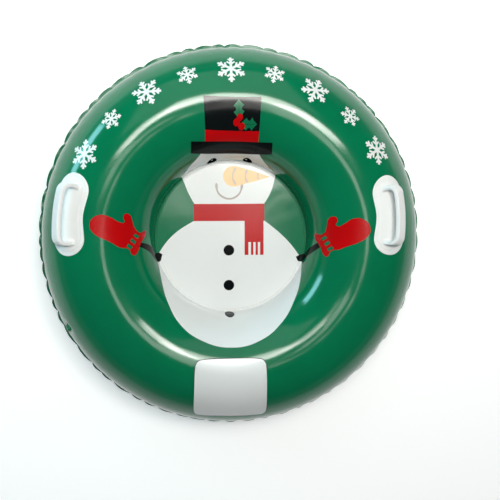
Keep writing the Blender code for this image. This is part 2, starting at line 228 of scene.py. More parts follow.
add_softbox("top_softbox", place=(0.3, 1.53, SOFTBOX_HEIGHT), size=(2.15, 1.12), radiance=24.0,
            target=(0.2, 0.8), grid=58)
add_softbox("upper_left_softbox", place=(-0.88, 1.2, SOFTBOX_HEIGHT), size=(1.25, 0.8), radiance=23.0,
            twist=36, target=(-0.65, 0.7), grid=42)
add_softbox("right_softbox", place=(1.33, 1.0, SOFTBOX_HEIGHT), size=(0.75, 1.1), radiance=19.0)
add_softbox("left_softbox", place=(-0.45, 0.1, SOFTBOX_HEIGHT), size=(0.4, 0.8), radiance=4.5)
add_softbox("back_scrim", place=(-0.2, 3.4, 3.4), size=(4.4, 4.0), radiance=0.85, colour=COOL)
add_softbox("seat_softbox", place=(0.62, 0.17, SOFTBOX_HEIGHT), size=(1.45, 0.55), radiance=4.8, twist=-18)
add_softbox("window", place=(-3.5, 2.0, 1.05), size=(1.5, 0.8), radiance=13.0, colour=CYAN)

bpy.context.scene.view_settings.view_transform = "Standard"

# %% [markdown]
# ## Vinyl
# The whole sled is one kind of material, soft PVC sheet, and what differs is its colour and polish. Real
# sheet is never quite even: its colour drifts a little, its polish has cloudy patches, and the rollers
# leave a fine orange-peel grain. One function makes all of them from noise in Object coordinates, which
# stay put when the camera or the piece moves.

# %% One function for every vinyl
VINYL_IOR = 1.5
CLOUDS = (9.0, 3.0)
PATCHES = (14.0, 2.0)
TINT_ENDS = (0.3, 0.7)
PEEL_STRENGTH = 0.5
PEEL_DETAIL = 1.0


def noise_at(nodes, links, place, scale, detail):
    """Noise in Object coordinates: its scale is about how many patches go to the metre."""
    texture = nodes.new("ShaderNodeTexNoise")
    texture.inputs["Scale"].default_value = scale
    texture.inputs["Detail"].default_value = detail
    links.new(place.outputs["Object"], texture.inputs["Vector"])
    return texture.outputs["Fac"]


def vinyl(name, colour, roughness, drift=0.06, grain=0.00003, grain_size=0.0012, polish=0.05, shine=0.5):
    """Soft vinyl: drift changes the colour's lightness, polish the roughness, grain is the bump's depth
    and shine the strength of its reflections."""
    material = bpy.data.materials.new(name)
    material.use_nodes = True
    nodes = material.node_tree.nodes
    links = material.node_tree.links
    shader = nodes["Principled BSDF"]
    shader.inputs["IOR"].default_value = VINYL_IOR
    shader.inputs["Specular IOR Level"].default_value = shine
    shader.inputs["Metallic"].default_value = 0.0
    place = nodes.new("ShaderNodeTexCoord")

    tint = nodes.new("ShaderNodeValToRGB")
    tint.color_ramp.elements[0].position = TINT_ENDS[0]
    tint.color_ramp.elements[1].position = TINT_ENDS[1]
    tint.color_ramp.elements[0].color = (*(part * (1 - drift) for part in colour), 1.0)
    tint.color_ramp.elements[1].color = (*(min(part * (1 + drift), 1) for part in colour), 1.0)
    links.new(noise_at(nodes, links, place, *CLOUDS), tint.inputs["Fac"])
    links.new(tint.outputs["Color"], shader.inputs["Base Color"])

    gloss = nodes.new("ShaderNodeMapRange")
    gloss.inputs["To Min"].default_value = roughness - polish
    gloss.inputs["To Max"].default_value = roughness + polish
    links.new(noise_at(nodes, links, place, *PATCHES), gloss.inputs["Value"])
    links.new(gloss.outputs["Result"], shader.inputs["Roughness"])

    bump = nodes.new("ShaderNodeBump")
    bump.inputs["Strength"].default_value = PEEL_STRENGTH
    bump.inputs["Distance"].default_value = grain
    links.new(noise_at(nodes, links, place, 1.0 / grain_size, PEEL_DETAIL), bump.inputs["Height"])
    links.new(bump.outputs["Normal"], shader.inputs["Normal"])
    return material


# %% The sled's finishes
green = vinyl("green_vinyl", (0.0004, 0.17, 0.07), 0.12, grain=0.00002, polish=0.015)
# The outer weld's green. The seat weld also uses it as painted shade in its groove.
weld_green_and_painted_groove_shade = vinyl("weld_green_vinyl_and_painted_groove_shade", (0.001, 0.132, 0.053), 0.3, drift=0.1)
floor_green = vinyl("floor_green_vinyl", (0.013, 0.175, 0.08), 0.17)
snow_white = vinyl("white_ink", (0.82, 0.84, 0.84), 0.2, drift=0.01, polish=0.02)
coal_black = vinyl("black_ink", (0.003, 0.0045, 0.0045), 0.16, shine=0.14)
hat_black = vinyl("hat_ink", (0.003, 0.0045, 0.0045), 0.16, shine=0.35)
weld_black = vinyl("black_ink_on_the_weld", (0.003, 0.0045, 0.0045), 0.2)
matt_black = vinyl("eye_ink", (0.003, 0.004, 0.004), 0.6, shine=0.0)
cheer_red = vinyl("red_ink", (0.52, 0.001, 0.002), 0.22, shine=0.35)
carrot_orange = vinyl("orange_ink", (0.97, 0.6, 0.29), 0.3, drift=0.02)
leaf_green = vinyl("leaf_ink", (0.001, 0.15, 0.06), 0.3)
# The mouth's grey ink. The seat weld also uses it as painted shade in the groove and as a painted highlight
# under the eyes.
grey_ink_painted_shade_and_highlight = vinyl("grey_ink_and_painted_weld_light", (0.44, 0.38, 0.34), 0.38)
pale_grey = vinyl("ridge_ink", (0.62, 0.52, 0.42), 0.38)
handle_white = vinyl("white_moulded_vinyl", (0.88, 0.885, 0.88), 0.38, drift=0.01, grain_size=0.0008)
valve_green = vinyl("green_moulded_vinyl", (0.004, 0.2, 0.085), 0.33)
print(len(bpy.data.materials), "materials in all")

# %% [markdown]
# ## Finishing a piece
# Every mesh goes through the same last steps: doubles are merged, the faces are turned outwards, it is
# shaded smooth except at real edges, and it is attached to the body it rides on.

# %% Finishing a piece
SOFT_EDGE = 40
HARD_EDGE = 60
DOUBLINGS = 5


def finished(name, bm, materials, body="sled", sharp=SOFT_EDGE):
    bmesh.ops.remove_doubles(bm, verts=bm.verts[:], dist=MERGE_DISTANCE)
    bmesh.ops.recalc_face_normals(bm, faces=bm.faces[:])
    mesh = bpy.data.meshes.new(name)
    bm.to_mesh(mesh)
    bm.free()
    mesh.shade_smooth()
    mesh.set_sharp_from_angle(angle=math.radians(sharp))
    for material in materials:
        mesh.materials.append(material)
    obj = bpy.data.objects.new(name, mesh)
    bpy.context.scene.collection.objects.link(obj)
    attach(obj, body)
    print(f"{name}: {len(mesh.polygons)} faces")
    return obj


def spun(points, steps, closed=True):
    """Spin an outline of (radius, height) points round Z. Many steps in one spin are slow, so a
    thirty-second of the turn is spun, and what is there is doubled five times."""
    bm = bmesh.new()
    verts = [bm.verts.new((radius, 0, height)) for radius, height in points]
    edges = [bm.edges.new(pair) for pair in zip(verts, verts[1:])]
    if closed:
        edges.append(bm.edges.new((verts[-1], verts[0])))
    bmesh.ops.spin(bm, geom=verts + edges, cent=(0, 0, 0), axis=(0, 0, 1),
                   angle=FULL_TURN / 2 ** DOUBLINGS, steps=steps // 2 ** DOUBLINGS)
    for doubling in range(DOUBLINGS):
        copy = bmesh.ops.duplicate(bm, geom=bm.verts[:] + bm.edges[:] + bm.faces[:])
        turned = [item for item in copy["geom"] if isinstance(item, bmesh.types.BMVert)]
        turn = Matrix.Rotation(FULL_TURN / 2 ** (DOUBLINGS - doubling), 3, "Z")
        bmesh.ops.rotate(bm, cent=(0, 0, 0), matrix=turn, verts=turned)
    bmesh.ops.remove_doubles(bm, verts=bm.verts[:], dist=MERGE_DISTANCE)
    return bm


# %% [markdown]
# ## Puckers
# The outer weld is longer than the blown-up tube wants it to be, so it gathers into lobes with a sharp
# valley between each two. A valley is deepest at the weld and runs up the sheet as a crease that gets
# shallower and wider. Real ones are never evenly spaced, so their places, depths and lengths are drawn
# from a seeded generator, and both sheets and the weld read the same list.

# %% Valleys round the outer weld
FIRST_VALLEY = 1.5
VALLEY_SPACING = (3.6, 7.6)
VALLEY_DEPTH = (0.0035, 0.0075)
CREASE_LENGTH = (0.022, 0.055)
CREASE_START_WIDTH = 0.003
CREASE_SPREAD = 0.16
CREASE_SHARE = 0.55
CREASE_RISE = 0.008
CREASE_FADE = 1.5
SCALLOP_REACH = 0.03
LOBE_ROUNDNESS = 0.6

random.seed(11)
valleys = []
turn = FIRST_VALLEY
while turn < 360 - VALLEY_SPACING[0]:
    valleys.append((math.radians(turn), random.uniform(*VALLEY_DEPTH), random.uniform(*CREASE_LENGTH)))
    turn += random.uniform(*VALLEY_SPACING)
print(len(valleys), "valleys round the outer weld")


def neighbours(turn):
    """The valleys before and after an angle, and how far between them it lies, from 0 to 1."""
    turn = turn % FULL_TURN
    after = next((index for index, valley in enumerate(valleys) if valley[0] > turn), 0)
    before = after - 1
    start = valleys[before][0]
    span = (valleys[after][0] - start) % FULL_TURN
    return valleys[before], valleys[after], ((turn - start) % FULL_TURN) / span, span


def scallop(turn):
    """How far the weld is drawn in at an angle: nothing on a lobe's crown, the full depth in a valley."""
    before, after, share, span = neighbours(turn)
    depth = before[1] + (after[1] - before[1]) * share
    return depth * (1 - math.sin(math.pi * share) ** LOBE_ROUNDNESS)


def pucker(turn, arc):
    """How far the sheet lies under its smooth round, at an arc length from the outer weld."""
    before, after, share, span = neighbours(turn)
    depth = scallop(turn) * math.exp(-(arc / SCALLOP_REACH) ** 2)
    width = CREASE_START_WIDTH + CREASE_SPREAD * arc
    for valley, gap in ((before, share * span), (after, (1 - share) * span)):
        fade = max(1 - arc / valley[2], 0) ** CREASE_FADE
        reach = gap * seam_edge_radius / width
        depth += CREASE_SHARE * valley[1] * min(arc / CREASE_RISE, 1) * fade * math.exp(-reach ** 2)
    return depth


# %% [markdown]
# ## Upper and lower sheet
# Each sheet is half of the tube, a thin closed shell: an outline of its outer face and, back again, its
# inner face, spun once round. The rows lie close together near the outer weld, where the creases are, and
# wider over the crest. The ground presses the lower sheet flat. Round the valve the upper sheet lies flat
# too, and the valve's place follows from the axes of the working model's joints.

# %% The valve's place
HINGE_OUT = 0.0115
HINGE_HEIGHT = 0.00375
joints = {joint["name"]: joint for joint in frame["record"]["behaviour"]["joints"]}
valve_out = Vector(joints["stem_slide"]["axis"]).normalized()
valve_up = -Vector(joints["stopper_hinge"]["axis"]).normalized()
valve_side = valve_up.cross(valve_out)
hinge_place = Vector(joints["stopper_hinge"]["pos_m"])
valve_place = hinge_place + valve_side * HINGE_OUT - valve_out * HINGE_HEIGHT
print("valve stands at", tuple(round(part, 4) for part in valve_place))


# %% Places on the tube
FLAT_REACH = 0.015
FLAT_FADE = 0.022
WELD_PULL = 0.0018
PULL_REACH = 0.022
WAVE = 0.00035
WAVES_ROUND = 5
WAVES_UP = 9
half_round = math.pi * tube_radius


def smooth(share):
    """An eased way from 0 to 1."""
    share = min(max(share, 0), 1)
    return share * share * (3 - 2 * share)


def flattened(point, lift):
    """The sheet lies flat where the stiff valve is welded in, and bends back to the round about it."""
    rise = (point - valve_place).dot(valve_out)
    away = (point - valve_place - valve_out * rise).length
    if away > FLAT_REACH + FLAT_FADE or rise < -ring_radius:
        return point
    return point + valve_out * (lift - rise) * smooth(1 - (away - FLAT_REACH) / FLAT_FADE)


def on_tube(turn, arc, lift):
    """A point of the tube by its angle round Z and its arc length from the outer weld, lifted outwards.
    Next to the seat's weld the seat pulls the sheet in a little."""
    rise = arc / tube_radius
    wave = WAVE * noise.noise(Vector((math.cos(turn) * WAVES_ROUND, math.sin(turn) * WAVES_ROUND,
                                      arc * WAVES_UP)))
    section = tube_radius + lift + wave - pucker(turn, abs(arc))
    pull = WELD_PULL * max(1 - (half_round - abs(arc)) / PULL_REACH, 0) ** 2
    radius = ring_radius + section * math.cos(rise) - pull
    height = centre_height + section * math.sin(rise)
    return flattened(Vector((radius * math.cos(turn), radius * math.sin(turn), height)), lift)


# %% Rows of a sheet
FINE_ROW = 0.0016
COARSE_ROW = 0.0066
INSIDE_FINE_ROW = 4 * FINE_ROW
INSIDE_COARSE_ROW = 3 * COARSE_ROW
ROW_GROWTH = 1.1
SHEET_STEPS = 736
SEAM_TUCK = 0.0006
WELD_TUCK = 0.0006


def sheet_arcs(fine, coarse):
    """Arc lengths of the rows from the outer to the inner weld, wider and wider apart."""
    arcs = [SEAM_TUCK]
    step = fine
    while arcs[-1] + step < half_round - WELD_TUCK:
        arcs.append(arcs[-1] + step)
        step = min(step * ROW_GROWTH, coarse)
    arcs[-1] = half_round - WELD_TUCK
    return arcs


def add_sheet(name, side):
    """One half of the tube: side is 1 for the upper sheet and -1 for the lower one."""
    outer_rows = [(arc, 0.0) for arc in sheet_arcs(FINE_ROW, COARSE_ROW)]
    inner_rows = [(arc, -SKIN) for arc in sheet_arcs(INSIDE_FINE_ROW, INSIDE_COARSE_ROW)]
    bm = spun(outer_rows + inner_rows[::-1], SHEET_STEPS)
    for vert in bm.verts:
        arc = math.hypot(vert.co.x, vert.co.y)
        turn = math.atan2(vert.co.y, vert.co.x)
        lift = vert.co.z
        vert.co = on_tube(turn, side * arc, lift)
        vert.co.z = max(vert.co.z, -lift)
    return finished(name, bm, [green])


# %% Both sheets
upper_sheet = add_sheet("upper_sheet", 1)
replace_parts(upper_sheet, "upper_skin")
lower_sheet = add_sheet("lower_sheet", -1)
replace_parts(lower_sheet, "lower_skin")

# %% [markdown]
# ## Outer weld
# The margin where both sheets are fused sticks out as a thin frill. It follows the lobes and flutters up
# and down a little. It is spun as a flat band and then pushed into its lobes, point by point.

# %% Outer weld
SEAM_ROWS = 7
SEAM_STEPS = 1440
FLUTTER = 0.0022
FLUTTER_WAVES = 22
RANDOM_FLUTTER = 1.6
LOBE_FLUTTER = 0.4
SEAM_TRIM = 0.0008
SEAM_LAP = 0.004
seam_start = ring_radius + tube_radius - SEAM_LAP
seam_thick = outer_seam_high.z - outer_seam_low.z


def add_outer_weld():
    width = seam_edge_radius - SEAM_TRIM - seam_start
    across = [seam_start + width * row / SEAM_ROWS for row in range(SEAM_ROWS + 1)]
    top = [(radius, seam_thick / 2) for radius in across]
    under = [(radius, -seam_thick / 2) for radius in across]
    top[-1] = (across[-1], seam_thick / 4)
    under[-1] = (across[-1], -seam_thick / 4)
    bm = spun(top + under[::-1], SEAM_STEPS)
    for vert in bm.verts:
        turn = math.atan2(vert.co.y, vert.co.x)
        radius = vert.co.xy.length
        out = (radius - seam_start) / width
        ripple = noise.noise(Vector((math.cos(turn) * FLUTTER_WAVES, math.sin(turn) * FLUTTER_WAVES, 0)))
        lobe = math.sin(FULL_TURN * neighbours(turn)[2])
        height = FLUTTER * out ** 2 * (RANDOM_FLUTTER * ripple + LOBE_FLUTTER * lobe)
        drawn = radius - scallop(turn)
        place = (drawn * math.cos(turn), drawn * math.sin(turn), centre_height + vert.co.z + height)
        vert.co = Vector(place)
    return finished("outer_weld", bm, [weld_green_and_painted_groove_shade], sharp=HARD_EDGE)


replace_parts(add_outer_weld(), "outer_seam")

# %% [markdown]
# ## The printed picture
# The picture was printed flat, so it is drawn flat too: every shape is a filled curve on the unrolled
# sheet, where a point's distance from the middle is its way along the vinyl, first over the seat and then
# up the inside of the tube. A film of ink is that shape, cut into small squares so that it can bend, given
# a hair's thickness and laid on the sled. Each layer of ink lies a fifth of a millimetre over the last one.

# %% Seat and weld heights
SEAT_RISE = 0.006
SEAT_RIPPLE = 0.00035
RIPPLES_ROUND = 7
RIPPLES_OUT = 20


def seat_height(radius, turn):
    """The seat's upper face. The air under it lifts it in the middle. Its ripple grows outwards and ends
    at the weld."""
    share = min(radius / weld_inner_radius, 1)
    ripple = noise.noise(Vector((math.cos(turn) * RIPPLES_ROUND, math.sin(turn) * RIPPLES_ROUND,
                                 radius * RIPPLES_OUT)))
    return floor_top + SEAT_RISE * (1 - share ** 2) + SEAT_RIPPLE * ripple * share ** 3 * (1 - share ** 12)


def on_sled(x, y, lift):
    """Where a point of the flat picture lies on the blown-up sled."""
    way = math.hypot(x, y)
    turn = math.atan2(y, x)
    if way <= wall_radius:
        return Vector((x, y, seat_height(way, turn) + lift))
    return on_tube(turn, half_round - (way - wall_radius), lift)


# %% Filled shapes on the flat sheet
INK = 0.00012
SQUARE = 0.004
FINE_SQUARE = 0.002
LAYER = 0.0002
CURVE_STEPS = 10
CUT_DISTANCE = 0.00001


def flat_shape(outlines):
    """Fill closed smooth outlines, given in millimetres; an outline inside another one is a hole.
    Each outline is a list of points, where a third value of 1 makes a sharp corner."""
    curve = bpy.data.curves.new("flat_shape", "CURVE")
    curve.dimensions = "2D"
    curve.fill_mode = "BOTH"
    curve.resolution_u = CURVE_STEPS
    for points in outlines:
        spline = curve.splines.new("BEZIER")
        spline.bezier_points.add(len(points) - 1)
        spline.use_cyclic_u = True
        for knot, point in zip(spline.bezier_points, points):
            knot.co = (point[0] * MM, point[1] * MM, 0)
            kind = "VECTOR" if len(point) > 2 else "AUTO"
            knot.handle_left_type = kind
            knot.handle_right_type = kind
    holder = bpy.data.objects.new("flat_shape", curve)
    bpy.context.scene.collection.objects.link(holder)
    bpy.context.view_layer.update()
    mesh = bpy.data.meshes.new_from_object(holder.evaluated_get(bpy.context.evaluated_depsgraph_get()))
    bm = bmesh.new()
    bm.from_mesh(mesh)
    bpy.data.objects.remove(holder)
    bpy.data.curves.remove(curve)
    bpy.data.meshes.remove(mesh)
    bmesh.ops.remove_doubles(bm, verts=bm.verts[:], dist=MERGE_DISTANCE)
    return bm


def cut_into_squares(bm, side):
    """Cut a flat mesh along a square grid, which gives it points to bend at."""
    for axis in range(2):
        reach = [vert.co[axis] for vert in bm.verts]
        line = math.floor(min(reach) / side) * side + side
        while line < max(reach):
            where = Vector((0, 0, 0))
            where[axis] = line
            facing = Vector((0, 0, 0))
            facing[axis] = 1
            bmesh.ops.bisect_plane(bm, geom=bm.verts[:] + bm.edges[:] + bm.faces[:], dist=CUT_DISTANCE,
                                   plane_co=where, plane_no=facing)
            line += side


# %% Films of ink
DISC_POINTS = 8
picture = []


def add_film(name, outlines, ink, layer, side=SQUARE):
    """Lay a flat shape on the sled, in one of the layers, and remember it for the seat's weld."""
    bm = flat_shape(outlines)
    cut_into_squares(bm, side)
    picture.append((layer, ink, BVHTree.FromBMesh(bm)))
    lifted = bmesh.ops.extrude_face_region(bm, geom=bm.faces[:])
    top = [item for item in lifted["geom"] if isinstance(item, bmesh.types.BMVert)]
    bmesh.ops.translate(bm, vec=(0, 0, INK), verts=top)
    for vert in bm.verts:
        vert.co = on_sled(vert.co.x, vert.co.y, layer * LAYER - LAYER / 2 + vert.co.z)
    return finished(name, bm, [ink])


def disc(x, y, radius, tall=None):
    """A round or oval outline of a few smooth points."""
    tall = tall or radius
    turns = [FULL_TURN * step / DISC_POINTS for step in range(DISC_POINTS)]
    return [(x + radius * math.cos(turn), y + tall * math.sin(turn)) for turn in turns]


# %% [markdown]
# ## Snowman
# The figure is a common winter one: two balls of snow with a hat, a scarf, a carrot, stick arms and
# mittens. The balls are cut off straight where the scarf and the hat lie over them. Outlines are in
# millimetres on the flat sheet, from its middle, and a third value of 1 marks a sharp corner.

# %% Head and body
head = [(-102, 284, 1), (-140, 194), (-121, 140), (-110, 113), (-92, 80, 1), (84, 80, 1), (103, 112),
        (113, 140), (118, 182), (84, 282, 1)]
body = [(-92, 45, 1), (-149, 7), (-186, -38), (-212, -90), (-222, -150), (-211, -213), (-174, -279),
        (-105, -329), (-8, -352), (87, -332), (160, -277), (202, -205), (214, -130), (199, -85), (175, -43),
        (135, 3), (84, 45, 1)]
add_film("print_snow_head", [head], snow_white, 1)
add_film("print_snow_body", [body], snow_white, 1)

# %% Hat
crown = [(-92, 443, 1), (-91, 345, 1), (82, 342, 1), (83, 440, 1)]
band = [(-91, 357, 1), (-91.5, 316, 1), (82, 312, 1), (81.5, 353, 1)]
brim = [(-137, 322, 1), (-137, 284, 1), (-70, 277), (-4, 273), (64, 274), (128, 279, 1), (127, 318, 1),
        (60, 321), (-5, 323), (-70, 323)]
add_film("print_hat_crown", [crown], hat_black, 2)
add_film("print_hat_band", [band], cheer_red, 3)
add_film("print_hat_brim", [brim], coal_black, 4)

# %% Scarf
scarf = [(-97, 86, 1), (-97, 41, 1), (36, 41, 1), (36, -49, 1), (46, -49, 1), (46, -15, 1), (53, -15, 1),
         (53, -49, 1), (59, -49, 1), (59, -15, 1), (65, -15, 1), (65, -49, 1), (71, -49, 1), (71, -15, 1),
         (77, -15, 1), (77, -49, 1), (86, -49, 1), (86, 41, 1), (88, 41, 1), (88, 86, 1)]
add_film("print_scarf", [scarf], cheer_red, 2)

# %% Eyes, mouth, nose and buttons
EYE_HALF = (13.5, 27)
GLINT_HALF = (2.6, 3.6)
BUTTON_HALF = 14
BUTTONS = ((-36, 14), (-129, 14), (-226, 22))
BUTTON_SHIFT = -5.5

for side, x, y in (("left", -57, 224), ("right", 47, 223)):
    add_film(f"print_{side}_eye", [disc(x, y, *EYE_HALF)], matt_black, 2, FINE_SQUARE)
mouth = [(-39, 140), (-37, 118), (-24, 103), (-3, 97), (17, 104), (28, 119), (31, 137), (28, 137),
         (24, 120), (14, 108), (-3, 101.5), (-21, 107), (-33, 120), (-36, 140)]
add_film("print_mouth", [mouth], grey_ink_painted_shade_and_highlight, 2)
carrot = [(-20, 158), (-14, 175), (2, 184), (40, 177), (104, 156, 1), (40, 139), (1, 132), (-14, 142)]
add_film("print_carrot", [carrot], carrot_orange, 2)
for number, (y, tall) in enumerate(BUTTONS):
    add_film(f"print_button_{number + 1}", [disc(BUTTON_SHIFT, y, BUTTON_HALF, tall)], coal_black, 2)

# %% Small shapes that lie on the others
RIDGES = ((3, 8, 22.5), (36.5, 4.5, 16.5), (69, 2.2, 8.5))
RIDGE_END = 3
RIDGE_WAIST = 3.4
CARROT_HEIGHT = 158

for side, x, y in (("left", -60, 238), ("right", 44, 236)):
    add_film(f"print_{side}_eye_glint", [disc(x, y, *GLINT_HALF)], snow_white, 3)
for number, (x, bulge, tall) in enumerate(RIDGES):
    high = CARROT_HEIGHT + tall
    low = CARROT_HEIGHT - tall
    ridge = [(x + bulge, high), (x + bulge + RIDGE_END, high), (x + RIDGE_WAIST, CARROT_HEIGHT),
             (x + bulge + RIDGE_END, low), (x + bulge, low), (x, CARROT_HEIGHT)]
    add_film(f"print_carrot_ridge_{number + 1}", [ridge], pale_grey, 3)

# %% Arms
left_arm = [(-180, -46, 1), (-190, -41), (-202, -45), (-255, -21), (-300, -7, 1), (-306, -20, 1),
            (-262, -41), (-222, -64), (-196, -68), (-184, -63, 1)]
right_arm = [(172, -55, 1), (190, -48), (206, -46), (240, -31), (278, -15, 1), (287, -29, 1),
             (246, -50), (213, -63), (194, -69), (178, -67, 1)]
add_film("print_left_arm", [left_arm], coal_black, 2)
add_film("print_right_arm", [right_arm], coal_black, 2)

# %% Mittens
left_mitten = [(-440, 53), (-431, 76), (-408, 86), (-386, 78), (-364, 63), (-352, 62), (-354, 80),
               (-346, 91), (-335, 86), (-329, 68), (-321, 42), (-302, 25), (-291, 27), (-282, 29),
               (-279, 22), (-299, -9), (-315, -41), (-324, -47), (-333, -41), (-337, -30), (-348, -21),
               (-360, -20), (-392, 2), (-431, 29)]
right_mitten = [(427, 36), (420, 13), (403, -3), (362, -23), (345, -32), (333, -34), (319, -44), (314, -56),
                (305, -56), (287, -25), (263, 8), (268, 16), (286, 12), (304, 23), (310, 44), (314, 66),
                (326, 77), (338, 74), (341, 63), (337, 49), (345, 45), (360, 54), (384, 71), (410, 66)]


def slot_in_cuff(x, y, across, along):
    """A small four-cornered window: across runs over the cuff, along runs down the row of windows."""
    start = Vector((x, y))
    beyond = start + Vector(across)
    return [(*place, 1) for place in (start, beyond, beyond + Vector(along), start + Vector(along))]


CUFF_WINDOWS = 3
left_windows = [slot_in_cuff(-320 - 11 * row, 25 - 16 * row, across=(14, -12), along=(-6, -8))
                for row in range(CUFF_WINDOWS)]
right_windows = [slot_in_cuff(291 + 10 * row, 1 - 16.5 * row, across=(15, 11), along=(6, -8))
                 for row in range(CUFF_WINDOWS)]
add_film("print_left_mitten", [left_mitten] + left_windows, cheer_red, 2)
add_film("print_right_mitten", [right_mitten] + right_windows, cheer_red, 2)

# %% [markdown]
# ## Holly
# A holly leaf is a row of lobes between sharp points on either side of a vein, and it is the same for any
# leaf, so a function draws it along a line from stalk to tip. The veins are thin dark films on top.

# %% Holly
HOLLY_LOBES = 3
HOLLY_WIDTH = 34
HOLLOW_WIDTH = 0.55
HOLLOW_BACK = 0.5
POINT_AHEAD = 0.06
LAST_WIDTH = 0.4
LAST_BACK = 0.45
VEIN_WIDTH = 1.0
VEIN_ENDS = (0.08, 0.86)
VEIN_TAPER = 0.4


def holly_leaf(start, tip):
    """A leaf's outline in millimetres, from its stalk to its tip, with a point after each lobe."""
    along = Vector(tip) - Vector(start)
    across = Vector((-along.y, along.x)).normalized() * HOLLY_WIDTH / 2
    sides = []
    for side in (1, -1):
        points = []
        for lobe in range(1, HOLLY_LOBES):
            hollow = Vector(start) + along * (lobe - HOLLOW_BACK) / HOLLY_LOBES
            point = Vector(start) + along * (lobe + POINT_AHEAD) / HOLLY_LOBES
            points += [(hollow + across * side * HOLLOW_WIDTH, 0), (point + across * side, 1)]
        last = Vector(start) + along * (HOLLY_LOBES - LAST_BACK) / HOLLY_LOBES
        points.append((last + across * side * LAST_WIDTH, 0))
        sides.append(points)
    outline = [(Vector(start), 1)] + sides[0] + [(Vector(tip), 1)] + sides[1][::-1]
    return [(*place, 1) if corner else tuple(place) for place, corner in outline]


def vein(start, tip):
    """A thin wedge along the middle of a leaf."""
    along = Vector(tip) - Vector(start)
    across = Vector((-along.y, along.x)).normalized() * VEIN_WIDTH / 2
    root, end = (Vector(start) + along * share for share in VEIN_ENDS)
    corners = [root + across, end + across * VEIN_TAPER, end - across * VEIN_TAPER, root - across]
    return [(*corner, 1) for corner in corners]


holly = (((17, 388), (14, 436)), ((22, 373), (74, 372)))
add_film("print_holly_leaves", [holly_leaf(*leaf) for leaf in holly], leaf_green, 3, FINE_SQUARE)
for number, leaf in enumerate(holly):
    add_film(f"print_holly_vein_{number + 1}", [vein(*leaf)], coal_black, 4, FINE_SQUARE)
berries = [disc(19, 391, 9.5), disc(9, 378, 10.5), disc(25, 367, 10.5)]
for number, berry in enumerate(berries):
    add_film(f"print_berry_{number + 1}", [berry], cheer_red, 5)

# %% [markdown]
# ## Snowflakes and panel
# Round the top of the tube runs a row of white snowflakes, large and small in turn. A snowflake repeats
# every sixth of a turn, so its outline is one arm that is turned six times. Low on the tube lies a plain
# white panel with rounded corners and a thin dark line round it. Its sizes are in millimetres too.

# %% Snowflakes
FLAKES = 9
FLAKE_TURNS = (32.0, 149.5)
FLAKE_WAY = 0.316
FLAKE_SIZES_MM = (38.0, 27.0)
FLAKE_ARMS = 6
FLAKE_BAR = 0.085


def flake_outline(size):
    """One snowflake about the origin, as sharp corners: six arms with a pair of twigs each."""
    bar = FLAKE_BAR * size
    arm = [(0.16, bar), (0.36, bar), (0.56, bar + 0.22 * size), (0.65, bar + 0.13 * size), (0.53, bar),
           (0.66, bar), (0.82, bar + 0.15 * size), (0.9, bar + 0.07 * size), (0.84, bar), (1.0, bar * 0.9)]
    half = [(share * size, side) for share, side in arm]
    whole = [(x, -y) for x, y in half] + half[::-1]
    outline = []
    for step in range(FLAKE_ARMS):
        turned = Matrix.Rotation(step * (FULL_TURN / FLAKE_ARMS), 2)
        outline += [turned @ Vector(point) for point in whole]
    return outline


for number in range(FLAKES):
    azimuth = math.radians(FLAKE_TURNS[0] + (FLAKE_TURNS[1] - FLAKE_TURNS[0]) * number / (FLAKES - 1))
    way = (wall_radius + FLAKE_WAY) / MM
    real_radius = ring_radius + tube_radius * math.cos((half_round - FLAKE_WAY) / tube_radius)
    stretch = (wall_radius + FLAKE_WAY) / real_radius
    middle = Vector((way * math.cos(azimuth), way * math.sin(azimuth)))
    out = middle.normalized()
    around = Vector((-out.y, out.x)) * stretch
    shape = flake_outline(FLAKE_SIZES_MM[number % 2])
    flake = [(*(middle + out * point.x + around * point.y), 1) for point in shape]
    add_film(f"print_snowflake_{number + 1}", [flake], snow_white, 1)

# %% Panel
PANEL_MIDDLE = (-11.0, -468.0)
PANEL_HALF = (114.5, 89.5)
PANEL_CORNER = 20.0
PANEL_LINE = 2.0
CORNER_STEPS = 4


def rounded_rectangle(middle, half, corner):
    """An outline with round corners, and with a point in the middle of each side to keep it straight."""
    outline = []
    for quarter, (across, up) in enumerate(((1, 1), (-1, 1), (-1, -1), (1, -1))):
        centre = (middle[0] + across * (half[0] - corner), middle[1] + up * (half[1] - corner))
        for step in range(CORNER_STEPS + 1):
            angle = (quarter + step / CORNER_STEPS) * math.pi / 2
            outline.append((centre[0] + corner * math.cos(angle), centre[1] + corner * math.sin(angle)))
        side = ((0, 1), (-1, 0), (0, -1), (1, 0))[quarter]
        outline.append((middle[0] + side[0] * half[0], middle[1] + side[1] * half[1]))
    return outline


inner_half = (PANEL_HALF[0] - PANEL_LINE, PANEL_HALF[1] - PANEL_LINE)
panel_line = rounded_rectangle(PANEL_MIDDLE, PANEL_HALF, PANEL_CORNER)
panel_face = rounded_rectangle(PANEL_MIDDLE, inner_half, PANEL_CORNER - PANEL_LINE)
add_film("panel_line", [panel_line], coal_black, 1)
add_film("panel_face", [panel_face], snow_white, 2)

# %% [markdown]
# ## Weld round the seat
# The ring where upper sheet, seat and lower sheet are fused is pressed by a ribbed tool. Next to the wall
# it leaves a round bead with fine ribs across it, then a groove and a low ridge. The picture had been
# printed before, so it runs over the weld as well: each small face of the ring looks up which film lies
# there. Shade is painted into the groove and along the ring's inner edge, white as grey and the rest as
# dark green. An eye's black on the bead is painted grey as a highlight, the glare off its ribs.

# %% Profile of the weld
BEAD_MIDDLE = wall_radius - 0.0031
BEAD_HALF = 0.0019
BEAD_HEIGHT = 0.0016
RIDGE_MIDDLE = weld_inner_radius + 0.0016
RIDGE_HALF = 0.0014
RIDGE_HEIGHT = 0.0009
WELD_ROW = 0.0003
WELD_ROWS = 32
# The groove between bead and ridge, where shade is painted into the weld's colour.
GROOVE_MIDDLE = weld_inner_radius + 0.00315
GROOVE_HALF = 0.0002
WELD_RIBS = 640
RIB_DEPTH = 0.00022
RIB_STEPS = 4
WELD_STEPS = WELD_RIBS * RIB_STEPS


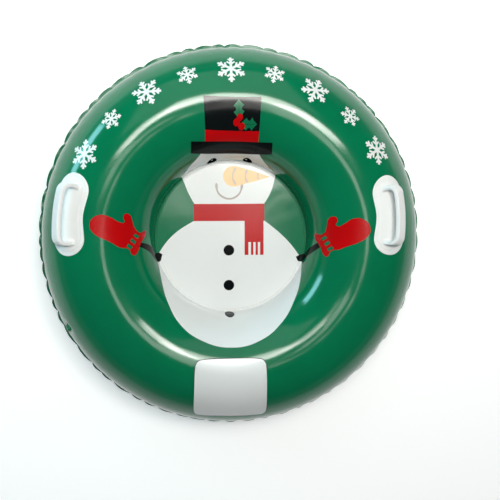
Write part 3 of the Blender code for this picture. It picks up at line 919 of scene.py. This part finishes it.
def weld_relief(radius):
    """How high the bead and the ridge stand over the weld."""
    bead = 1 - ((radius - BEAD_MIDDLE) / BEAD_HALF) ** 2
    ridge = 1 - ((radius - RIDGE_MIDDLE) / RIDGE_HALF) ** 2
    return BEAD_HEIGHT * math.sqrt(max(bead, 0)) + RIDGE_HEIGHT * math.sqrt(max(ridge, 0))


def picture_at(x, y):
    """The ink that lies uppermost at a point of the flat picture, or nothing."""
    best = (0, None)
    for layer, ink, films in picture:
        if layer > best[0] and films.ray_cast(Vector((x, y, 1)), Vector((0, 0, -1)))[0]:
            best = (layer, ink)
    return best[1]


def add_seat_weld():
    """The pressed ring. Each face is given the ink of the picture that lies there, with painted shade in
    the groove and a painted highlight on the bead under the eyes.
    """
    low = inner_seam_low.z
    rows = [weld_inner_radius + step * WELD_ROW for step in range(WELD_ROWS)]
    top = [(radius, weld_top + weld_relief(radius)) for radius in rows]
    outline = [(weld_inner_radius, low)] + top + [(rows[-1], low)]
    bm = spun(outline, WELD_STEPS)
    for vert in bm.verts:
        radius = vert.co.xy.length
        if vert.co.z > weld_top and abs(radius - BEAD_MIDDLE) < BEAD_HALF:
            turn = math.atan2(vert.co.y, vert.co.x)
            vert.co.z += RIB_DEPTH * math.cos(WELD_RIBS * turn)
    weld_inks_and_painted_light = [floor_green, snow_white, weld_black, cheer_red, weld_green_and_painted_groove_shade, grey_ink_painted_shade_and_highlight]
    for face in bm.faces:
        middle = face.calc_center_median()
        radius = middle.xy.length
        in_painted_shade = abs(radius - GROOVE_MIDDLE) < GROOVE_HALF or radius < weld_inner_radius + WELD_ROW
        if middle.z > low + SKIN:
            ink = picture_at(middle.x, middle.y)
            if ink is coal_black:
                ink = weld_black
            # Painted highlight: an eye's black on the bead is painted grey for the glare off its ribs. In
            # the groove it stays black.
            if ink is matt_black:
                ink = weld_black if in_painted_shade else grey_ink_painted_shade_and_highlight
            # Painted shade: in the groove and along the ring's inner edge, white is painted grey and other
            # colours dark green.
            if in_painted_shade:
                ink = {snow_white: grey_ink_painted_shade_and_highlight, weld_black: weld_black}.get(ink, weld_green_and_painted_groove_shade)
            face.material_index = weld_inks_and_painted_light.index(ink) if ink in weld_inks_and_painted_light else 0
    return finished("seat_weld", bm, weld_inks_and_painted_light)


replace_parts(add_seat_weld(), "inner_seam")

# %% [markdown]
# ## Seat
# The seat is a disc of sheet, welded in under light tension. The air shut in under it lifts it a little,
# and it ripples softly where the weld's heat drew it in.

# %% Seat
SEAT_ROWS = 56
SEAT_STEPS = 352
SEAT_LAP = 0.0003
UNDER_ROWS = 12
seat_sheet = floor_top - seat_low.z


def add_seat():
    edge = weld_inner_radius + SEAT_LAP
    rows = [(edge * row / SEAT_ROWS, 0.0) for row in range(SEAT_ROWS + 1)]
    under = [(edge * row / UNDER_ROWS, -seat_sheet) for row in range(UNDER_ROWS, -1, -1)]
    bm = spun(rows + under, SEAT_STEPS, closed=False)
    for vert in bm.verts:
        turn = math.atan2(vert.co.y, vert.co.x)
        vert.co.z += seat_height(vert.co.xy.length, turn)
    return finished("seat", bm, [floor_green])


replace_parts(add_seat(), "seat_floor")

# %% [markdown]
# ## Handles
# Each handle is moulded from thick white vinyl in two parts. Its base plate is welded on the tube: a ribbed
# tool leaves a low border with fine ribs across it, and inside the border the plate stands a little higher.
# The plate is drawn flat as rows of points that step inwards from its outline to its spine, and is then
# bent round the tube. The grip is a flat strap swept along an arch, with feet that widen into the plate.

# %% Handle sizes
HANDLE_AZIMUTH = math.radians(9.0)
HANDLE_ELEVATION = math.radians(62.5)
PLATE_LENGTH = 0.208
PLATE_WIDTH = 0.088
PLATE_WAIST = 0.004
PLATE_HEIGHT = 0.0019
BORDER_HEIGHT = 0.0011
BORDER_WIDTH = 0.0105
RIB_START = 0.0035
RIB_END = 0.0092
BORDER_RIB = 0.0004
RIB_PITCH = 0.0042
BORDER_EDGE = 0.0009
PLATE_EDGE = 0.0022
PLATE_SINK = 0.0001
PLATE_INSETS_MM = (0, 0.3, 0.9, 2, 3.2, 3.8, 4.5, 6, 7.8, 8.6, 9.2, 10.2, 11, 11.8, 12.8, 15, 20, 28,
                   36, 44)
GRIP_LENGTH = 0.155
GRIP_HEIGHT = 0.038
GRIP_WIDTH = 0.022
GRIP_THICKNESS = 0.0105
GRIP_EDGE = 0.0036
GRIP_BEND = 0.018
GRIP_EDGE_STEPS = 6
end_radius = PLATE_WIDTH / 2
half_spine = PLATE_LENGTH / 2 - end_radius


def handle_point(stand, along, across, height):
    """A point over the tube, by its lengths along and across a handle and its height over the skin. The
    handle's stand is its angle round Z, its shift towards the crest and its twist on the sheet."""
    azimuth, shift, twist = stand
    turned = Matrix.Rotation(twist, 2) @ Vector((along, across))
    reach = ring_radius + tube_radius * math.cos(HANDLE_ELEVATION)
    return on_tube(azimuth + turned.x / reach, HANDLE_ELEVATION * tube_radius + shift + turned.y, height)


# %% Base plates
def plate_place(way):
    """The spine point, outward direction and waist at a way round the plate's outline."""
    side = 2 * half_spine
    end = math.pi * end_radius
    way = way % (2 * side + 2 * end)
    if way < side:
        along = half_spine - way
        return Vector((along, 0)), Vector((0, 1)), along
    if way < side + end:
        angle = math.pi / 2 + (way - side) / end_radius
        return Vector((-half_spine, 0)), Vector((math.cos(angle), math.sin(angle))), half_spine
    if way < 2 * side + end:
        along = way - side - end - half_spine
        return Vector((along, 0)), Vector((0, -1)), along
    angle = -math.pi / 2 + (way - 2 * side - end) / end_radius
    return Vector((half_spine, 0)), Vector((math.cos(angle), math.sin(angle))), half_spine


def add_plate(name, stand):
    outline = 4 * half_spine + FULL_TURN * end_radius
    ribs = round(outline / RIB_PITCH)
    columns = RIB_STEPS * ribs
    bm = bmesh.new()
    bmesh.ops.create_grid(bm, x_segments=columns, y_segments=len(PLATE_INSETS_MM) - 1, size=1)
    for vert in bm.verts:
        column = (vert.co.x + 1) / 2
        inset = PLATE_INSETS_MM[round((vert.co.y + 1) / 2 * (len(PLATE_INSETS_MM) - 1))] * MM
        spine, out, along = plate_place(column * outline)
        waist = PLATE_WAIST * (1 + math.cos(math.pi * along / half_spine)) / 2
        place = spine + out * max(end_radius - waist - inset, 0)
        height = BORDER_HEIGHT * smooth(inset / BORDER_EDGE)
        height += (PLATE_HEIGHT - BORDER_HEIGHT) * smooth((inset - BORDER_WIDTH) / PLATE_EDGE)
        if RIB_START < inset < RIB_END:
            height += BORDER_RIB * math.cos(FULL_TURN * ribs * column)
        vert.co = Vector((place.x, place.y, height))
    bmesh.ops.remove_doubles(bm, verts=bm.verts[:], dist=MERGE_DISTANCE)
    above = bmesh.ops.extrude_face_region(bm, geom=bm.faces[:])
    top = {item for item in above["geom"] if isinstance(item, bmesh.types.BMVert)}
    for vert in bm.verts:
        height = vert.co.z + PLATE_SINK if vert in top else -PLATE_SINK
        vert.co = handle_point(stand, vert.co.x, vert.co.y, height)
    return finished(name, bm, [handle_white], sharp=HARD_EDGE)


# %% Grips
def grip_section(along, height, direction, width, thick, shift):
    """A section's place on the arch; shift moves it across, towards the sled's middle."""
    ahead = Vector((math.cos(direction), 0, math.sin(direction)))
    outward = Vector((-math.sin(direction), 0, math.cos(direction)))
    matrix = Matrix((Vector((0, width, 0)), outward * thick, ahead)).transposed().to_4x4()
    matrix.translation = Vector((along, shift, height))
    return matrix


FOOT_FLARE = ((0.0, 1.62, 1.7), (0.0008, 1.5, 1.42), (0.002, 1.4, 1.22), (0.0038, 1.3, 1.1),
              (0.0062, 1.2, 1.03), (0.0095, 1.1, 1.0), (0.013, 1.03, 1.0))
FOOT_SHIFT = 0.0055
FOOT_TUCK = 0.25
BEND_STEPS = 12
BAR_STEPS = 16


def grip_stations():
    """Sections up one foot, round the bend, along the bar and down again. Each row of FOOT_FLARE is a
    height with its share of the width and of the thickness."""
    leg = GRIP_LENGTH / 2 - GRIP_THICKNESS / 2
    top = GRIP_HEIGHT - GRIP_THICKNESS / 2
    bend_start = top - GRIP_BEND
    corner = leg - GRIP_BEND
    upright = math.pi / 2
    rising = []
    for height, width, thick in FOOT_FLARE:
        inwards = (thick - 1) * GRIP_THICKNESS * FOOT_TUCK
        shift = FOOT_SHIFT * (width - 1)
        rising.append((-leg + inwards, PLATE_HEIGHT + height, upright, width, thick, shift))
    for step in range(BEND_STEPS + 1):
        angle = upright * step / BEND_STEPS
        rising.append((-corner - GRIP_BEND * math.cos(angle), bend_start + GRIP_BEND * math.sin(angle),
                       upright - angle, 1, 1, 0))
    bar = [(corner * (2 * step / BAR_STEPS - 1), top, 0, 1, 1, 0) for step in range(1, BAR_STEPS)]
    falling = [(-along, height, -direction, width, thick, shift)
               for along, height, direction, width, thick, shift in rising[::-1]]
    return [grip_section(*station) for station in rising + bar + falling]


def add_grip(name, stand, lean):
    """The strap on its arch, bent over sideways by the lean, more and more towards its top."""
    bm = bmesh.new()
    bmesh.ops.create_grid(bm, x_segments=1, y_segments=1, size=1)
    bmesh.ops.scale(bm, vec=(GRIP_WIDTH / 2, GRIP_THICKNESS / 2, 1), verts=bm.verts[:])
    bmesh.ops.bevel(bm, geom=bm.verts[:], offset=GRIP_EDGE, segments=GRIP_EDGE_STEPS, profile=0.5,
                    affect="VERTICES", material=-1)
    first = face = next(iter(bm.faces))
    stations = grip_stations()
    bmesh.ops.transform(bm, matrix=stations[0], verts=bm.verts[:])
    for before, after in zip(stations, stations[1:]):
        made = bmesh.ops.extrude_face_region(bm, geom=[face])
        ahead = next(item for item in made["geom"] if isinstance(item, bmesh.types.BMFace))
        bmesh.ops.transform(bm, matrix=after @ before.inverted(), verts=ahead.verts[:])
        if face is not first:
            bmesh.ops.delete(bm, geom=[face], context="FACES_ONLY")
        face = ahead
    for vert in bm.verts:
        angle = lean * smooth(vert.co.z / GRIP_HEIGHT)
        across = vert.co.y * math.cos(angle) - vert.co.z * math.sin(angle)
        height = vert.co.z * math.cos(angle) + vert.co.y * math.sin(angle)
        vert.co = handle_point(stand, vert.co.x, across, height)
    return finished(name, bm, [handle_white])


# %% Both handles
LEFT_STAND = (math.pi - HANDLE_AZIMUTH - 0.0095, -0.003, math.radians(3.5))
RIGHT_STAND = (HANDLE_AZIMUTH - 0.002, 0.0125, math.radians(-6.5))
LEFT_LEAN = math.radians(22)
RIGHT_LEAN = math.radians(14)
for side, stand, lean in (("left", LEFT_STAND, LEFT_LEAN), ("right", RIGHT_STAND, RIGHT_LEAN)):
    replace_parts(add_plate(f"{side}_base_plate", stand), f"{side}_handle_plate")
    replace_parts(add_grip(f"{side}_grip", stand, lean), f"{side}_handle_grip")

# %% [markdown]
# ## Valve
# The valve is moulded in softer vinyl: a neck welded into the sheet, a stem that slides in it and a
# stopper on a strap. Each is an outline with rounded edges, spun round Z at the origin, where X goes round
# the tube, Y up it and Z outwards. The stem's lug and the stopper's tab are drawn out of their round rims.
# Only then are the pieces placed. The flap under the stem is hidden, so the working model's own one stays.

# %% Valve sizes
VALVE_STEPS = 128
NECK = 0.0095
NECK_TOP = 0.0015
LIP = 0.0063
LIP_UNDER = 0.0003
SOCKET = 0.0073
SOCKET_WALL = 0.0083
SOCKET_END = -0.0165
FLANGE = 0.0135
FLANGE_TOP = -0.001
FLANGE_UNDER = -0.002
BORE = 0.004
STEM = 0.006
STEM_RIM = 0.0075
RIM_UNDER = 0.0018
RIM_TOP = 0.003
COLLAR = 0.007
COLLAR_TOP = -0.012
COLLAR_END = -0.014
HEAD = 0.0068
HEAD_UNDER = 0.0033
HEAD_TOP = 0.0055
SHANK_ROOT = 0.0037
SHANK_TIP = 0.0021
SHANK_END = -0.0022
EDGE = 0.0004
HOLE_OVERRUN = 0.01
HOLE_SEGMENTS = 64
HAIR = 0.0001
DRAW_FADE = 0.001
VALVE_SHARP = 50
placed = Matrix((valve_side, valve_up, valve_out)).transposed().to_4x4()
placed.translation = valve_place


def drawn_out(bm, side, half_width, reach, start, low, high):
    """Draw a tab out of a rim on one side of the valve, between two heights."""
    for vert in bm.verts:
        radius = vert.co.xy.length
        if vert.co.x * side > 0 and radius > start and low <= vert.co.z <= high:
            share = smooth((radius - start) / DRAW_FADE) * (1 - min(abs(vert.co.y) / half_width, 1) ** 6)
            vert.co.x += side * reach * share


def place_valve_piece(name, bm, body):
    bmesh.ops.transform(bm, matrix=placed, verts=bm.verts[:])
    return finished(name, bm, [valve_green], body=body, sharp=VALVE_SHARP)


# %% Hole through the sheet
def cut_valve_hole():
    """Cut the round hole that the neck passes through, and keep only the cut mesh."""
    bm = bmesh.new()
    bmesh.ops.create_cone(bm, cap_ends=True, segments=HOLE_SEGMENTS, radius1=NECK, radius2=NECK,
                          depth=2 * HOLE_OVERRUN, matrix=placed)
    mesh = bpy.data.meshes.new("valve_hole")
    bm.to_mesh(mesh)
    bm.free()
    cutter = bpy.data.objects.new("valve_hole", mesh)
    bpy.context.scene.collection.objects.link(cutter)
    cut = upper_sheet.modifiers.new("valve_hole", "BOOLEAN")
    cut.operation = "DIFFERENCE"
    cut.solver = "EXACT"
    cut.object = cutter
    bpy.context.view_layer.update()
    seen = upper_sheet.evaluated_get(bpy.context.evaluated_depsgraph_get())
    result = bpy.data.meshes.new_from_object(seen)
    upper_sheet.modifiers.clear()
    upper_sheet.data = result
    bpy.data.objects.remove(cutter)
    bpy.data.meshes.remove(mesh)
    result.shade_smooth()
    result.set_sharp_from_angle(angle=math.radians(SOFT_EDGE))
    print("upper sheet with its hole:", len(result.polygons), "faces")


cut_valve_hole()

# %% Neck
neck = spun([(SOCKET, SOCKET_END), (SOCKET_WALL, SOCKET_END), (SOCKET_WALL, FLANGE_UNDER),
             (FLANGE, FLANGE_UNDER), (FLANGE, FLANGE_TOP), (NECK, FLANGE_TOP), (NECK, NECK_TOP - 2 * EDGE),
             (NECK - EDGE / 4, NECK_TOP - EDGE), (NECK - EDGE, NECK_TOP - EDGE / 4),
             (NECK - 2 * EDGE, NECK_TOP), (LIP + EDGE, NECK_TOP), (LIP, NECK_TOP - EDGE),
             (LIP, LIP_UNDER), (SOCKET, LIP_UNDER)], VALVE_STEPS)
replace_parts(place_valve_piece("valve_neck", neck, "sled"), "valve_base")

# %% Stem
LUG_REACH = 0.005
LUG_HALF = 0.0022
stem = spun([(BORE, COLLAR_END), (COLLAR - EDGE, COLLAR_END), (COLLAR, COLLAR_END + EDGE),
             (COLLAR, COLLAR_TOP), (STEM, COLLAR_TOP), (STEM, RIM_UNDER), (STEM_RIM - EDGE / 2, RIM_UNDER),
             (STEM_RIM, RIM_UNDER + EDGE), (STEM_RIM, RIM_TOP - EDGE), (STEM_RIM - EDGE, RIM_TOP),
             (BORE + EDGE, RIM_TOP), (BORE, RIM_TOP - EDGE)], VALVE_STEPS)
drawn_out(stem, -1, LUG_HALF, LUG_REACH, start=STEM + EDGE, low=RIM_UNDER - HAIR, high=RIM_TOP + HAIR)
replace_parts(place_valve_piece("valve_push_stem", stem, "stem"), "valve_stem")

# %% Stopper
TAB_REACH = 0.0023
TAB_HALF = 0.0028
DIMPLE = 0.002
stopper = spun([(0, SHANK_END), (SHANK_TIP - EDGE, SHANK_END), (SHANK_TIP, SHANK_END + EDGE),
                (SHANK_ROOT, HEAD_UNDER), (HEAD - EDGE / 2, HEAD_UNDER), (HEAD, HEAD_UNDER + EDGE),
                (HEAD, HEAD_TOP - 3 * EDGE), (HEAD - EDGE / 3, HEAD_TOP - 2 * EDGE),
                (HEAD - 1.2 * EDGE, HEAD_TOP - EDGE / 2), (HEAD - 2.5 * EDGE, HEAD_TOP),
                (HEAD - 5 * EDGE, HEAD_TOP - EDGE / 4), (HEAD - 6 * EDGE, HEAD_TOP - 1.4 * EDGE),
                (DIMPLE, HEAD_TOP - 2 * EDGE), (0, HEAD_TOP - 2 * EDGE)], VALVE_STEPS, closed=False)
drawn_out(stopper, 1, TAB_HALF, TAB_REACH, start=HEAD - 4 * EDGE, low=HEAD_UNDER - HAIR,
          high=HEAD_TOP - 2.5 * EDGE)
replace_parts(place_valve_piece("valve_plug", stopper, "stopper"), "valve_stopper")

# %% Strap
STRAP_WIDTH = 0.0032
STRAP_THICKNESS = 0.0009
STRAP_RISE = 0.0014
STRAP_STEPS = 24
STRAP_START = -0.0068
STRAP_ROWS = 4
STRAP_ROUNDING = 0.35
strap = bmesh.new()
bmesh.ops.create_grid(strap, x_segments=STRAP_STEPS, y_segments=STRAP_ROWS, size=1)
top_face = bmesh.ops.extrude_face_region(strap, geom=strap.faces[:])
raised = {item for item in top_face["geom"] if isinstance(item, bmesh.types.BMVert)}
for vert in strap.verts:
    share = (vert.co.x + 1) / 2
    rim = 1 - STRAP_ROUNDING * abs(vert.co.y) ** 4
    bow = STRAP_RISE * math.sin(math.pi * share)
    side = 1 if vert in raised else -1
    along = STRAP_START + (-HINGE_OUT - STRAP_START) * share
    height = HINGE_HEIGHT + bow + side * rim * STRAP_THICKNESS / 2
    vert.co = Vector((along, vert.co.y * STRAP_WIDTH / 2, height))
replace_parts(place_valve_piece("valve_strap", strap, "stopper"), "valve_tether")

# %% Flap
flap = bpy.data.objects["valve_flap"]
flap.data.materials.clear()
flap.data.materials.append(valve_green)
print("flap stays as in the working model:", len(flap.data.polygons), "faces")
